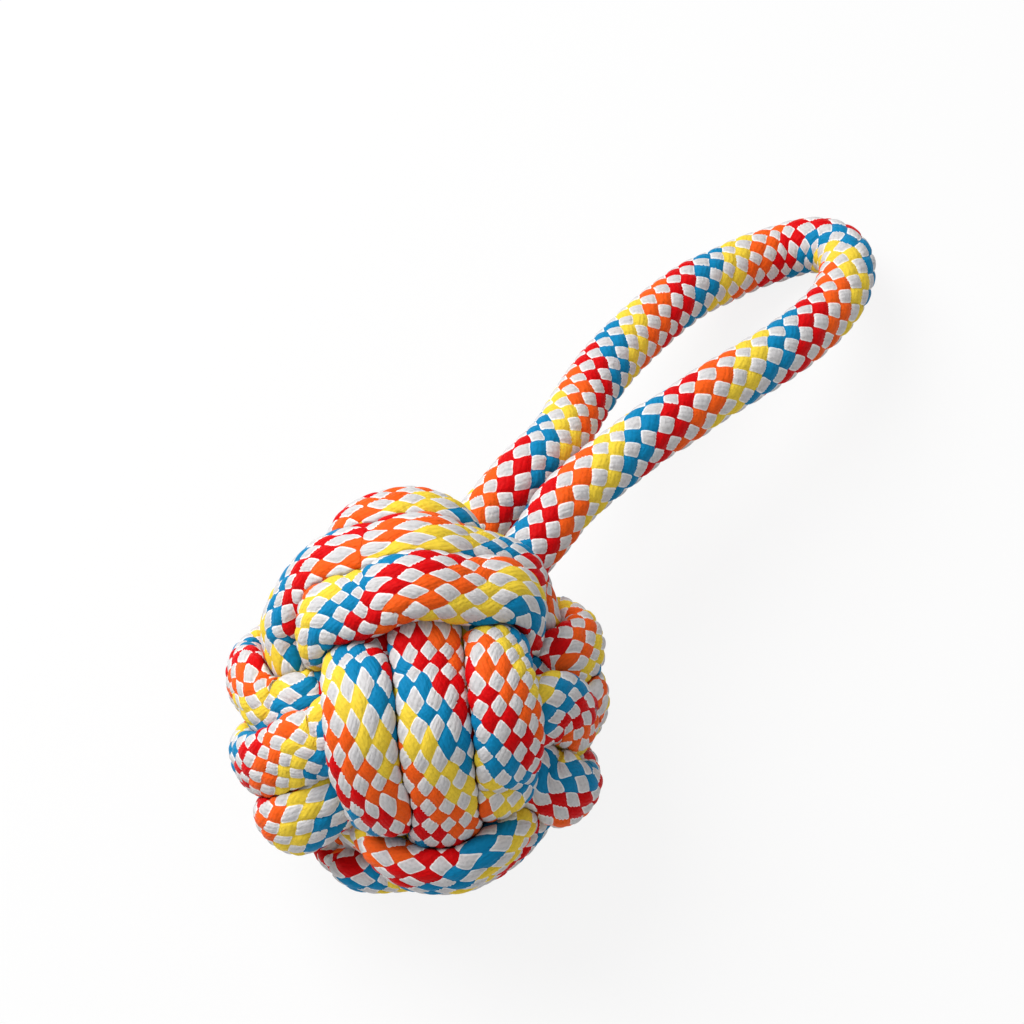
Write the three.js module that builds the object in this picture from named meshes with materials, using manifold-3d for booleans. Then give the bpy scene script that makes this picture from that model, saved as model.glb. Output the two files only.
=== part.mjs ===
// Rope dog toy: a ball knotted from braided rope, with a loop handle of the same rope.
// The knot has three wraps of three turns, each at right angles to the other two.
// Every wrap lies over one neighbour and under the other, round a core knot in the middle.
// Millimetres, +Z up. The handle points along +X and rests its far side on the ground.
import * as THREE from "three";
import Module from "manifold-3d";
import { mergeVertices } from "three/addons/utils/BufferGeometryUtils.js";

// Rope
const ROPE_D = 11.7; // round and slack, in the handle
const ROOT_D = 10.8; // squeezed, where the handle runs into the ball
const WRAP_WIDTH = 10.4; // pulled flat, in the knot
const WRAP_THICK = 7.8;

// Ball
const CORE_D = 26; // core knot
const TURNS = 3; // of each wrap
const OUTER_LAYER = 2.2; // rope thicknesses from the core to the middle of the outer layer
const INNER_LAYER = 1; // and of the inner layer
const SURFACE_LAYER = 3.09; // and to the ball's surface where the handle comes out
const LANE_WIDTH = 12; // from turn to turn, before the knot is drawn tight
const PRESS_GAP = 0.8; // between pressed turns
const SKIN_THICK = 0.5; // of a turn, that gives way where others press on it
const END_TRIM = 24; // degrees that a wrap's ends stop short of the middle of their hidden pass
const CLIMB_ARC = 110; // degrees in which a turn moves over to the next lane
// How far the turns of each wrap lie off the ball's middle, where they pass over and where they pass under
const SIDE_LEAN = [-10, -6]; // up
const FRONT_LEAN = [1.4, 1.4]; // to the right
const TOP_LEAN = [-11, 0]; // to the back, pushed forward by the handle's roots
const LEAN_FROM = 16; // from the middle, where a turn counts as passing over
const FIST_RIGHT = new THREE.Vector3(0.74, -0.67, 0.01); // how the knot lies: its side faces
const FIST_BACK = new THREE.Vector3(0.43, 0.47, -0.77); // and its front and back faces

// How the turns spread once the knot is tight, soft as they are. Ranges are where a change sets in
// and where it is full, in millimetres from the ball's middle or degrees below straight ahead.
const FRONT_SPREAD = 0.17; // of their distance from the middle turn, for the front turns
const FRONT_SHIFT = 1; // to the right
const SPREAD_RANGE = [8, 22]; // before the middle
const SIDE_LIFT = 3; // of the side turns
const SIDE_TILT = 0.3; // more of it, for each millimetre to the back
const SIDE_DRAW = 4; // inwards, on the upper side turns
const RIGHT_DRAW = 3; // inwards, on the right
const SIDE_RANGE = [10, 24]; // to the sides
const DRAW_RANGE = [-12, 2]; // up
const TOP_NARROW = 0.2; // of the second top turn's width
const NARROW_RANGE = [2, 12]; // up
const TOP_DRAW = 0.05; // of the top turns' reach
const TOP_RANGE = [10, 30]; // up and down
const ROLL = 12; // degrees that the lower half of the front rolls down, twice that on its flanks
const ROLL_RANGE = [5, 130];
const FLANK_RANGE = [4, 16]; // to the sides of the middle turn
const FRONT_REACH = 33; // of the front's lower half, at least
const FRONT_DIVE = 10.5; // less of it, downwards
const DIVE_RANGE = [25, 60];
const FLANK_REACH = 17.3; // to the side, beyond which the front's reach falls no more
const SWELL = 1.2; // outwards, of turns at the ball's surface
const SWELL_RANGE = [24, 30];

// Handle, centre line from inside the ball out, round the loop and back: along the loop as a share of
// its length from the ball's surface, then sideways and up in rope diameters from the ball's centre
const LOOP_LENGTH = 99.8; // from the ball's surface to the loop's tip
const HANDLE_ROUTE = [
  [-0.167, -0.17, 0.24], [-0.007, -0.17, 0.24], [0.068, -0.12, 0.28], [0.143, -0.17, 0.24],
  [0.224, -0.25, 0.11], [0.304, -0.34, -0.01], [0.379, -0.47, -0.19], [0.459, -0.59, -0.31],
  [0.539, -0.72, -0.53], [0.624, -0.85, -0.78], [0.72, -0.94, -1.08], [0.825, -0.94, -1.42],
  [0.915, -0.77, -1.72], [0.975, -0.47, -1.98], [1, -0.04, -2.24], [0.985, 0.39, -2.45],
  [0.94, 0.73, -2.58], [0.875, 0.99, -2.45], [0.795, 1.16, -2.19], [0.72, 1.29, -1.89],
  [0.629, 1.35, -1.6], [0.524, 1.35, -1.3], [0.414, 1.29, -1], [0.304, 1.2, -0.7],
  [0.199, 1.05, -0.4], [0.088, 0.92, -0.14], [-0.007, 0.88, -0.19], [-0.167, 0.88, -0.23],
];
const PEG_DEPTH = 8.7; // below the ball's surface, from where on the roots hold the turns apart
const PEGS = 7; // on each root
const NECK_LENGTH = 6.8; // from the ball's surface to where the legs bend
const FOLD_LENGTH = 46.3; // from the ball's surface to where the loop folds over
const SEAT_GAP = 0.3; // between pieces that touch
const FLAT_DEPTH = 1.2; // rope pressed flat where it stands

// Fineness
const STEPS = 48; // points in a turn while the knot is drawn tight
const RING_EVERY = 2; // of those points that get a ring of the tube
const STRETCH_RINGS = 4; // of a wrap, measured against its other stretches
const WRAP_SIDES = 8;
const ROPE_SIDES = 10;
const STEP_LENGTH = 6; // along the handle
const TIGHTEN_STEPS = 1500;
const SETTLE_STEPS = 900; // at the end, with the pull let off
const PULL = 0.25;
const TUCK_POINTS = 12; // at a wrap's ends, drawn in under the wrap that crosses them
const TUCK_DEPTH = 0.1; // in each step
const PRESS_SHARE = 0.5; // of an overlap that pressed turns give way in a step
const PEG_SHARE = 0.6; // and that a turn gives way to a peg
const LEAN_SHARE = 0.1; // of the way to their lean that turns move in a step
const KEEP_OFF = 9; // points along one rope that do not press each other
const CORE_SIDES = 20;
const KNUCKLE_SIDES = 8;
const HALVINGS = 40; // to find a place on the handle's curve

const ROPE_LOOK = { color: 0xe4ddd2, roughness: 0.7, metalness: 0 };
const CORE_LOOK = { color: 0xd8d4cc, roughness: 0.85, metalness: 0 };

const wasm = await Module();
wasm.setup();

// A closed geometry as a solid that can be joined and cut
function solidOf(geometry) {
  const bare = new THREE.BufferGeometry();
  bare.setAttribute("position", geometry.getAttribute("position"));
  bare.setIndex(geometry.getIndex());
  const merged = mergeVertices(bare, 1e-4);
  const vertProperties = new Float32Array(merged.getAttribute("position").array);
  const triVerts = new Uint32Array(merged.getIndex().array);
  return new wasm.Manifold(new wasm.Mesh({ numProp: 3, vertProperties, triVerts }));
}

function geometryOf(solid) {
  const mesh = solid.getMesh();
  const points = [];
  for (let i = 0; i < mesh.vertProperties.length; i += mesh.numProp) {
    points.push(...mesh.vertProperties.slice(i, i + 3));
  }
  const geometry = new THREE.BufferGeometry();
  geometry.setAttribute("position", new THREE.Float32BufferAttribute(points, 3));
  geometry.setIndex([...mesh.triVerts]);
  return geometry;
}

// One wrap before it is drawn tight. Its turns pass over along its first axis, under along its second
// and lie side by side along its third. One side where it passes under holds its ends and its climbs.
function looseWrap({ axes: [out, into, stack], endSide }) {
  const outer = CORE_D / 2 + OUTER_LAYER * WRAP_THICK;
  const inner = CORE_D / 2 + INNER_LAYER * WRAP_THICK;
  const middle = (endSide * Math.PI) / 2;
  const trim = THREE.MathUtils.degToRad(END_TRIM);
  const span = 2 * Math.PI * TURNS - 2 * trim;
  const count = Math.round((STEPS * span) / (2 * Math.PI));
  return Array.from({ length: count + 1 }, (_, i) => {
    const angle = middle + trim + (span * i) / count;
    const turn = (angle - middle) / (2 * Math.PI);
    const nearest = Math.round(turn);
    const climb = THREE.MathUtils.clamp(((turn - nearest) * 360) / CLIMB_ARC, -0.5, 0.5);
    const offset = LANE_WIDTH * (nearest + climb * (1.5 - 2 * climb * climb) - TURNS / 2);
    const reach = (outer + inner) / 2 + ((outer - inner) / 2) * Math.cos(2 * angle);
    const flat = Math.sqrt(Math.max(reach * reach - offset * offset, WRAP_THICK * WRAP_THICK));
    const point = new THREE.Vector3();
    point.setComponent(out, flat * Math.cos(angle));
    point.setComponent(into, flat * Math.sin(angle));
    point.setComponent(stack, offset);
    return point;
  });
}

// Along, outward and sideways directions at each point of a wrap round the ball's centre
function framesOf(points) {
  const last = points.length - 1;
  return points.map((point, i) => {
    const along = points[Math.min(i + 1, last)].clone().sub(points[Math.max(i - 1, 0)]).normalize();
    const outward = point.clone().normalize();
    outward.addScaledVector(along, -outward.dot(along)).normalize();
    return { along, outward, sideways: along.clone().cross(outward) };
  });
}

// Half the rope's breadth towards a direction, for its oval section
function halfBreadth(frame, direction) {
  const wide = (WRAP_WIDTH / 2) * frame.sideways.dot(direction);
  const thick = (WRAP_THICK / 2) * frame.outward.dot(direction);
  return Math.hypot(wide, thick);
}

// Moves points together along an axis, by a share of what their middle lacks to a place on it
function leanTo(points, axis, place) {
  const middle = points.reduce((sum, point) => sum + point.getComponent(axis), 0) / points.length;
  for (const point of points) {
    point.setComponent(axis, point.getComponent(axis) + LEAN_SHARE * (place - middle));
  }
}

// Draws the knot tight: each turn is pulled short, pressed turns push each other apart, and each wrap
// is drawn to its lean. The core and the handle's roots, given as pegs, hold their places. Once the
// pull is off, the turns spread, and the last steps part those that then press each other.
function drawTight(wraps, plans, pegs) {
  const reach = WRAP_WIDTH + PRESS_GAP;
  const floor = CORE_D / 2 + WRAP_THICK / 2 + SEAT_GAP;
  const sites = wraps.flatMap((wrap, w) => {
    return wrap.map((point, i) => ({ point, w, i, count: wrap.length }));
  });
  const away = new THREE.Vector3();
  const spreadStep = TIGHTEN_STEPS - Math.round(SETTLE_STEPS / 3);
  for (let step = 0; step < TIGHTEN_STEPS; step += 1) {
    const frames = wraps.flatMap(framesOf);
    const left = spreadStep - step;
    const easing = Math.max(0, left / ((SETTLE_STEPS * 2) / 3)) / 4;
    const pull = PULL * (step < TIGHTEN_STEPS - SETTLE_STEPS ? 1 : easing);
    if (left === 0) spreadTurns(wraps);
    const before = sites.map((site) => site.point.clone());
    sites.forEach((site, s) => {
      if (site.i === 0 || site.i === site.count - 1) return;
      const halfway = before[s - 1].clone().add(before[s + 1]).multiplyScalar(0.5);
      site.point.lerp(halfway, pull);
    });
    const push = sites.map(() => new THREE.Vector3());
    const pressed = new Array(sites.length).fill(0);
    for (let a = 0; a < sites.length; a += 1) {
      for (let b = a + 1; b < sites.length; b += 1) {
        if (sites[a].w === sites[b].w && b - a <= KEEP_OFF) continue;
        if (sites[a].point.distanceToSquared(sites[b].point) > reach * reach) continue;
        away.subVectors(sites[a].point, sites[b].point);
        const distance = away.length();
        away.divideScalar(distance);
        const breadth = halfBreadth(frames[a], away) + halfBreadth(frames[b], away);
        const short = breadth + PRESS_GAP - distance;
        if (short <= 0) continue;
        push[a].addScaledVector(away, short);
        push[b].addScaledVector(away, -short);
        pressed[a] += 1;
        pressed[b] += 1;
      }
    }
    sites.forEach((site, s) => {
      site.point.addScaledVector(push[s], PRESS_SHARE / Math.max(Math.sqrt(pressed[s]), 1));
      const shove = new THREE.Vector3();
      let touched = 0;
      for (const peg of pegs) {
        away.subVectors(site.point, peg);
        const distance = away.length();
        away.divideScalar(distance);
        const short = halfBreadth(frames[s], away) + ROOT_D / 2 + PRESS_GAP - distance;
        if (short <= 0) continue;
        shove.addScaledVector(away, short);
        touched += 1;
      }
      site.point.addScaledVector(shove, PEG_SHARE / Math.max(touched, 1));
      const fromEnd = Math.min(site.i, site.count - 1 - site.i);
      const tucked = fromEnd < TUCK_POINTS && pull === PULL;
      if (tucked) site.point.setLength(site.point.length() - TUCK_DEPTH);
    });
    if (left > 0) wraps.forEach((wrap, w) => {
      const { axes: [out, , stack], lean: [over, under] } = plans[w];
      const passesOver = (point) => Math.abs(point.getComponent(out)) > LEAN_FROM;
      const outside = wrap.filter(passesOver);
      const inside = wrap.filter((point) => !passesOver(point));
      leanTo(outside, stack, over);
      leanTo(inside, stack, under);
    });
    for (const { point } of sites) {
      if (point.length() < floor) point.setLength(floor);
    }
  }
}

// Moves the turns of a tight knot apart where they pass over, and draws the front's lower half down
function spreadTurns([side, front, top]) {
  const { smoothstep, clamp, degToRad, radToDeg } = THREE.MathUtils;
  const below = (point) => radToDeg(Math.atan2(-point.z, -point.y));
  for (const point of front) {
    const aside = point.x - FRONT_LEAN[0];
    point.x += smoothstep(-point.y, ...SPREAD_RANGE) * (FRONT_SPREAD * aside + FRONT_SHIFT);
  }
  for (const point of side) {
    const over = smoothstep(Math.abs(point.x), ...SIDE_RANGE);
    const upper = SIDE_DRAW * Math.sign(point.x) * smoothstep(point.z, ...DRAW_RANGE);
    point.x -= over * (upper + (point.x > 0 ? RIGHT_DRAW : 0));
    point.z += over * (SIDE_LIFT + SIDE_TILT * point.y);
  }
  top.forEach((point, i) => {
    const second = Math.abs(i / top.length - 0.5) < 0.5 / TURNS;
    if (second) point.x *= 1 - TOP_NARROW * smoothstep(point.z, ...NARROW_RANGE);
  });
  const rollAxis = new THREE.Vector3(1, 0, 0);
  for (const point of [...front, ...top]) {
    const share = clamp((below(point) - ROLL_RANGE[0]) / (ROLL_RANGE[1] - ROLL_RANGE[0]), 0, 1);
    const flank = smoothstep(Math.abs(point.x - FRONT_LEAN[0]), ...FLANK_RANGE);
    const roll = ROLL * (1 + flank) * Math.sin(Math.PI * share) ** 2;
    point.applyAxisAngle(rollAxis, degToRad(roll));
  }
  for (const point of front) {
    const angle = below(point);
    if (angle <= 0 || angle >= 90) continue;
    const full = FRONT_REACH - FRONT_DIVE * smoothstep(angle, ...DIVE_RANGE);
    const least = Math.sqrt(full ** 2 - Math.min(Math.abs(point.x), FLANK_REACH) ** 2);
    const grow = Math.max(least / Math.hypot(point.y, point.z), 1);
    point.y *= grow;
    point.z *= grow;
  }
  for (const point of top) {
    point.multiplyScalar(1 - TOP_DRAW * smoothstep(Math.abs(point.z), ...TOP_RANGE));
  }
}

// Rings of an oval tube along a wrap
function wrapRings(points, skin) {
  const frames = framesOf(points);
  const rings = [];
  points.forEach((point, i) => {
    if (i % RING_EVERY && i !== points.length - 1) return;
    const swell = SWELL * THREE.MathUtils.smoothstep(point.length(), ...SWELL_RANGE);
    const ring = [];
    for (let side = 0; side < WRAP_SIDES; side += 1) {
      const angle = (2 * Math.PI * (side + 0.5)) / WRAP_SIDES;
      const thick = WRAP_THICK / 2 - skin + (angle < Math.PI ? swell : 0);
      const corner = point.clone();
      corner.addScaledVector(frames[i].sideways, (WRAP_WIDTH / 2 - skin) * Math.cos(angle));
      corner.addScaledVector(frames[i].outward, thick * Math.sin(angle));
      ring.push(corner);
    }
    rings.push(ring);
  });
  return rings;
}

// A closed tube through rings of equal count
function tubeOf(rings) {
  const sides = rings[0].length;
  const corners = rings.flat();
  const faces = [];
  for (let r = 0; r + 1 < rings.length; r += 1) {
    for (let s = 0; s < sides; s += 1) {
      const a = r * sides + s;
      const b = r * sides + ((s + 1) % sides);
      faces.push(a, a + sides, b, b, a + sides, b + sides);
    }
  }
  const lastRing = (rings.length - 1) * sides;
  for (let s = 1; s + 1 < sides; s += 1) {
    faces.push(0, s, s + 1);
    faces.push(lastRing, lastRing + s + 1, lastRing + s);
  }
  const geometry = new THREE.BufferGeometry().setFromPoints(corners);
  geometry.setIndex(faces);
  return geometry;
}

// The least room between stretches of a wrap that do not follow one another
function leastGap(rings) {
  const stretches = [];
  for (let ring = 0; ring + 1 < rings.length; ring += STRETCH_RINGS) {
    stretches.push(solidOf(tubeOf(rings.slice(ring, ring + STRETCH_RINGS + 1))));
  }
  let least = WRAP_WIDTH;
  stretches.forEach((stretch, i) => {
    for (const other of stretches.slice(i + 2)) least = Math.min(least, stretch.minGap(other, least));
  });
  return least;
}

// Round rope along a stretch of the handle, from one place on its curve to another
function ropeStretch(curve, from, to, diameter) {
  const length = Math.abs(to - from) * curve.getLength();
  const steps = Math.max(2, Math.round(length / STEP_LENGTH));
  const points = Array.from({ length: steps + 1 }, (_, i) => {
    return curve.getPointAt(from + ((to - from) * i) / steps);
  });
  const section = new THREE.Shape();
  section.absarc(0, 0, diameter / 2, 0, 2 * Math.PI);
  const path = new THREE.CatmullRomCurve3(points, false, "centripetal");
  return new THREE.ExtrudeGeometry(section, {
    steps, extrudePath: path, curveSegments: ROPE_SIDES, bevelEnabled: false,
  });
}

// What is left of a rope, in one piece, where others press into it
function pressedBy(rope, others) {
  const left = others.reduce((rest, other) => rest.subtract(other), rope);
  return left.decompose().sort((a, b) => b.volume() - a.volume())[0];
}

// Where the handle's curve passes a distance along X, on its way out or on its way back
function placeAt(curve, x, wayBack) {
  let low = wayBack ? 1 : 0;
  let high = 0.5; // the loop's tip is about halfway
  for (let i = 0; i < HALVINGS; i += 1) {
    const middle = (low + high) / 2;
    if (curve.getPointAt(middle).x < x) low = middle;
    else high = middle;
  }
  return low;
}

function knuckleAt(point) {
  const ball = new THREE.SphereGeometry(ROPE_D / 2, ROPE_SIDES, KNUCKLE_SIDES);
  return solidOf(ball.translate(point.x, point.y, point.z));
}

// The knot's own directions, turned to how it lies
const right = FIST_RIGHT.clone().normalize();
const back = FIST_BACK.clone().addScaledVector(right, -right.dot(FIST_BACK)).normalize();
const fistTurn = new THREE.Matrix4().makeBasis(right, back, right.clone().cross(back));
const fistBack = fistTurn.clone().invert();

const ballReach = CORE_D / 2 + SURFACE_LAYER * WRAP_THICK;
const neckX = ballReach + NECK_LENGTH;
const foldX = ballReach + FOLD_LENGTH;
const routePoints = HANDLE_ROUTE.map(([along, aside, up]) => {
  return new THREE.Vector3(ballReach + LOOP_LENGTH * along, ROPE_D * aside, ROPE_D * up);
});
const rootCurve = new THREE.CatmullRomCurve3(routePoints, false, "centripetal");
const pegs = [];
for (const wayBack of [false, true]) {
  for (let peg = 0; peg < PEGS; peg += 1) {
    const x = ballReach - PEG_DEPTH + ((PEG_DEPTH + NECK_LENGTH) * peg) / (PEGS - 1);
    pegs.push(rootCurve.getPointAt(placeAt(rootCurve, x, wayBack)).applyMatrix4(fistBack));
  }
}

// Axes of the knot: 0 to the right, 1 to the back, 2 up
const wrapPlans = {
  side_wrap: { axes: [0, 1, 2], endSide: 1, lean: SIDE_LEAN, under: "front_wrap" },
  front_wrap: { axes: [1, 2, 0], endSide: -1, lean: FRONT_LEAN, under: "top_wrap" },
  top_wrap: { axes: [2, 0, 1], endSide: -1, lean: TOP_LEAN, under: "side_wrap" },
};
const wraps = {};
for (const [name, plan] of Object.entries(wrapPlans)) wraps[name] = looseWrap(plan);
drawTight(Object.values(wraps), Object.values(wrapPlans), pegs);

const slackWraps = {};
const fullWraps = {};
let ballFoot = Infinity;
for (const [name, points] of Object.entries(wraps)) {
  points.forEach((point) => point.applyMatrix4(fistTurn));
  const rings = wrapRings(points, SKIN_THICK);
  console.log(`${name} least gap to itself ${leastGap(rings).toFixed(2)} mm`);
  rings.flat().forEach((corner) => {
    ballFoot = Math.min(ballFoot, corner.z);
  });
  slackWraps[name] = solidOf(tubeOf(rings));
  fullWraps[name] = solidOf(tubeOf(wrapRings(points, SKIN_THICK - SEAT_GAP)));
}
const solids = {};
for (const [name, { under }] of Object.entries(wrapPlans)) {
  solids[name] = pressedBy(slackWraps[name], [fullWraps[under]]);
}

// The ground, and the handle let down onto it
const ground = ballFoot + FLAT_DEPTH;
const lowest = Math.min(...routePoints.map((p) => p.z));
const tipX = Math.max(...routePoints.map((p) => p.x));
const drop = ground + ROPE_D / 2 - FLAT_DEPTH - lowest;
for (const point of routePoints) {
  point.z += (drop * Math.max(0, point.x - neckX)) / (tipX - neckX);
}
const handle = new THREE.CatmullRomCurve3(routePoints, false, "centripetal");
const handleLength = handle.getLength();
const reachBack = (ROPE_D / 2 + SEAT_GAP) / handleLength;
const nearNeck = placeAt(handle, neckX, false);
const nearFold = placeAt(handle, foldX, false);
const farNeck = placeAt(handle, neckX, true);
const farFold = placeAt(handle, foldX, true);

const rootOf = (from, to) => {
  const rope = solidOf(ropeStretch(handle, from, to, ROOT_D));
  return pressedBy(rope, Object.values(fullWraps));
};
const legOf = (from, to) => {
  const rope = solidOf(ropeStretch(handle, from, to, ROPE_D));
  return rope.add(knuckleAt(handle.getPointAt(from)));
};
solids.core_knot = solidOf(new THREE.SphereGeometry(CORE_D / 2, CORE_SIDES, CORE_SIDES / 2));
solids.near_root = rootOf(0, nearNeck - reachBack);
solids.far_root = rootOf(1, farNeck + reachBack);
solids.near_leg = legOf(nearNeck, nearFold - reachBack);
solids.far_leg = legOf(farNeck, farFold + reachBack);
solids.bight = legOf(nearFold, farFold).add(knuckleAt(handle.getPointAt(farFold)));

// Rope that stands on the ground is pressed flat there
const groundSide = 2 * (2 * ballReach + LOOP_LENGTH);
const below = new THREE.BoxGeometry(groundSide, groundSide, CORE_D).translate(0, 0, ground - CORE_D / 2);
const groundSolid = solidOf(below);
const toy = new THREE.Group();
for (const [name, solid] of Object.entries(solids)) {
  const look = name === "core_knot" ? CORE_LOOK : ROPE_LOOK;
  const geometry = geometryOf(solid.subtract(groundSolid));
  const mesh = new THREE.Mesh(geometry, new THREE.MeshStandardMaterial(look));
  mesh.name = name;
  toy.add(mesh);
}
const box = new THREE.Box3().setFromObject(toy);
toy.position.set(-(box.min.x + box.max.x) / 2, -(box.min.y + box.max.y) / 2, -box.min.z);
for (const [name, place] of Object.entries({ nearNeck, farNeck, nearFold, farFold })) {
  const spot = handle.getPointAt(place).add(toy.position);
  console.log(`${name} at ${spot.toArray().map((v) => v.toFixed(2)).join(" ")}`);
}
console.log(`ball centre at ${toy.position.toArray().map((v) => v.toFixed(2)).join(" ")}`);
console.log(`size ${box.getSize(new THREE.Vector3()).toArray().map((v) => v.toFixed(1)).join(" x ")} mm`);

export default toy;
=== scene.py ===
# %% [markdown]
# # A rope dog toy
# The toy is one length of braided rope: three wraps of three turns tied into a ball, and a loop of
# the same rope left over as a handle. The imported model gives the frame. Everything that shows is
# rope, so this lesson is about one surface, a braided tube, carried along several paths. Shapes are
# worked out in millimetres, and divided by 1000 when they become meshes, because Blender and the
# frame use metres. Lengths below are in millimetres unless a comment says otherwise.

# %% Load the frame
import math

import bpy
import numpy as np
from mathutils import Matrix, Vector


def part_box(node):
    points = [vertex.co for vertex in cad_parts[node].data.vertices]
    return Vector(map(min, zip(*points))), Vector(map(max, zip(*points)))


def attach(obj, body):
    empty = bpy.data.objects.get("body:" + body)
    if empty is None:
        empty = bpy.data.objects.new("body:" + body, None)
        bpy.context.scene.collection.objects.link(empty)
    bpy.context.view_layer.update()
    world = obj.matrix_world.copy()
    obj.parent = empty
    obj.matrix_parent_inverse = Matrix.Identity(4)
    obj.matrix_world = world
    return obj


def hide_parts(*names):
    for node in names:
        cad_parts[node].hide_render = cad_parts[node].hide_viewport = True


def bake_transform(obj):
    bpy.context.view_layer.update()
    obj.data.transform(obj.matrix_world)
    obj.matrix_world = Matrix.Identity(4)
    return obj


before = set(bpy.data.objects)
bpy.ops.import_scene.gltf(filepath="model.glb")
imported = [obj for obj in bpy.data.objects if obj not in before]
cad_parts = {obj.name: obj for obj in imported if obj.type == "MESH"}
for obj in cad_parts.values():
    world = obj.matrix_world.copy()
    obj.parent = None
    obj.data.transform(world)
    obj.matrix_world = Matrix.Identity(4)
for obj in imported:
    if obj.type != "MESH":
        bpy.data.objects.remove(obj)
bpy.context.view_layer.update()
ball_low, ball_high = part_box("core_knot")
BALL = 1000 * (np.array(ball_low) + np.array(ball_high)) / 2

# %% [markdown]
# ## Camera
# The photo looks down steeply from the ball's front, with the loop going away to the upper right.
# A camera needs three things: where it looks, which way is right, and how long its lens is. It
# could be turned by angles or made to look at an object. Here its axes are vectors in the part's
# frame, which the lamp uses too, and its place follows from the ball.

# %% Camera
LENS = 98.4
SENSOR = 36  # width of the picture behind the lens
CLIP = 0.01  # metres before the camera in which nothing shows
BALL_DEPTH = 525.0  # from the camera to the ball's centre
BALL_RIGHT = -18.7  # from the picture's middle to the ball's centre
BALL_UP = -30.4
CAMERA_RIGHT = np.array([0.629, -0.777, 0.0])
CAMERA_VIEW = np.array([0.316, 0.256, -0.9135])


def unit(vectors):
    """Each vector divided by its length."""
    return vectors / np.linalg.norm(vectors, axis=-1, keepdims=True)


camera_right = unit(CAMERA_RIGHT)
camera_view = unit(CAMERA_VIEW - CAMERA_VIEW @ camera_right * camera_right)
camera_up = np.cross(camera_right, camera_view)
camera_place = BALL - BALL_RIGHT * camera_right - BALL_UP * camera_up - BALL_DEPTH * camera_view
camera_data = bpy.data.cameras.new("camera")
camera_data.lens = LENS
camera_data.sensor_width = SENSOR
camera_data.clip_start = CLIP
camera = bpy.data.objects.new("camera", camera_data)
turn = np.eye(4)
turn[:3, :3] = np.stack([camera_right, camera_up, -camera_view], axis=1)
turn[:3, 3] = camera_place / 1000
camera.matrix_world = Matrix(turn.tolist())
bpy.context.scene.collection.objects.link(camera)
bpy.context.scene.camera = camera
print("camera at", (camera_place / 1000).round(3))

# %% [markdown]
# ## The handle's path
# The handle is the rest of the rope: two legs and the bend between them. Its path could be drawn by
# hand as a Bezier curve, but points written as shares of a length can be checked and changed. The
# centripetal kind of the Catmull-Rom curve passes through every point and never loops back on
# itself, so it suits given points. The path leaves the ball, goes out along the near leg, round
# the bend and back along the far leg, which is drawn a little towards the near one.

# %% Handle path
ROPE_D = 11.7
CORE_D = 26.0
WRAP_THICK = 7.8  # of a turn of the ball, from the inside out
SURFACE_LAYER = 3.09  # from the core to the ball's surface, in thicknesses of a turn
LOOP_LENGTH = 99.8
NECK_LENGTH = 6.8  # from the ball's surface to the hinge
FLAT_DEPTH = 1.2  # of the flat on which the loop rests
BALL_REACH = CORE_D / 2 + SURFACE_LAYER * WRAP_THICK
HANDLE_ROUTE = np.array([  # along in loop lengths, across and up in rope widths
    [-0.167, -0.17, 0.24], [-0.007, -0.17, 0.24], [0.068, -0.12, 0.28], [0.143, -0.17, 0.24],
    [0.224, -0.25, 0.11], [0.304, -0.34, -0.01], [0.379, -0.47, -0.19], [0.459, -0.59, -0.31],
    [0.539, -0.72, -0.53], [0.624, -0.85, -0.78], [0.72, -0.94, -1.08], [0.825, -0.94, -1.42],
    [0.915, -0.77, -1.72], [0.975, -0.47, -1.98], [1, -0.04, -2.24], [0.985, 0.39, -2.45],
    [0.94, 0.73, -2.58], [0.875, 0.99, -2.45], [0.795, 1.16, -2.19], [0.72, 1.29, -1.89],
    [0.629, 1.35, -1.6], [0.524, 1.35, -1.3], [0.414, 1.29, -1], [0.304, 1.2, -0.7],
    [0.199, 1.05, -0.4], [0.088, 0.92, -0.14], [-0.007, 0.88, -0.19], [-0.167, 0.88, -0.23],
])
CURVE_STEPS = 40  # between two points of a route
RING_STEP = 0.45  # between two rings of the handle
FAR_DRAW = 1.8  # of the far leg towards the near one
DRAW_LENGTH = 42.0  # from the ball's surface, with the full draw half way


def smooth_curve(points):
    """Centripetal Catmull-Rom: knots are the roots of the distances between points, and each
    stretch is a cubic with the slopes that these uneven knots give at its two ends."""
    ends = [2 * points[0] - points[1], 2 * points[-1] - points[-2]]
    p = np.concatenate([ends[:1], points, ends[1:]])
    knot = np.sqrt(np.linalg.norm(np.diff(p, axis=0), axis=1))[:, None]
    a, b, c = knot[:-2], knot[1:-1], knot[2:]
    p0, p1, p2, p3 = p[:-3], p[1:-2], p[2:-1], p[3:]
    start = ((p1 - p0) / a - (p2 - p0) / (a + b) + (p2 - p1) / b) * b
    end = ((p2 - p1) / b - (p3 - p1) / (b + c) + (p3 - p2) / c) * b
    t = np.linspace(0, 1, CURVE_STEPS, endpoint=False)[None, :, None]
    cubic = 2 * p1 - 2 * p2 + start + end
    square = -3 * p1 + 3 * p2 - 2 * start - end
    line = p1[:, None] + start[:, None] * t + square[:, None] * t**2 + cubic[:, None] * t**3
    return np.concatenate([line.reshape(-1, 3), points[-1:]])


def arc_of(line):
    """Length along a line at each of its points."""
    steps = np.linalg.norm(np.diff(line, axis=0), axis=1)
    return np.concatenate([[0], np.cumsum(steps)])


def respaced(line, step):
    """The line again, with points one step apart along it."""
    arc = arc_of(line)
    count = max(2, round(arc[-1] / step))
    at = np.linspace(0, arc[-1], count + 1)
    return np.stack([np.interp(at, arc, line[:, k]) for k in range(3)], axis=1)


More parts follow.
